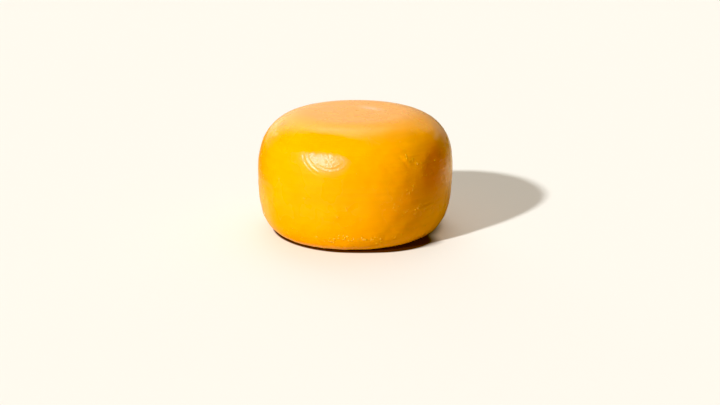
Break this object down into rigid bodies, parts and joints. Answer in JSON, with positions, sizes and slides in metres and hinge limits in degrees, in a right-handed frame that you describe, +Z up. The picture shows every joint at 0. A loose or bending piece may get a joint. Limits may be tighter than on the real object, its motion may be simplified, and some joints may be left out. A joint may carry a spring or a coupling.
{
  "type": "small waxed gouda cheese",
  "caption": "Whole small gouda in a yellow wax coat: a low round wheel with a nearly flat top, a bulging side and a rounded foot on a flat base.",
  "frame": {"origin": "middle of the flat face that the wheel rests on", "axes": "+Z up along the wheel's axis, -Y towards the side that the picture shows, +X to that view's right"},
  "size_m": [0.105, 0.1048, 0.0629],
  "materials": {
    "yellow_wax": "satin food wax"
  },
  "bodies": {
    "root": {"cheese_wheel": "yellow_wax"}
  },
  "joints": []
}
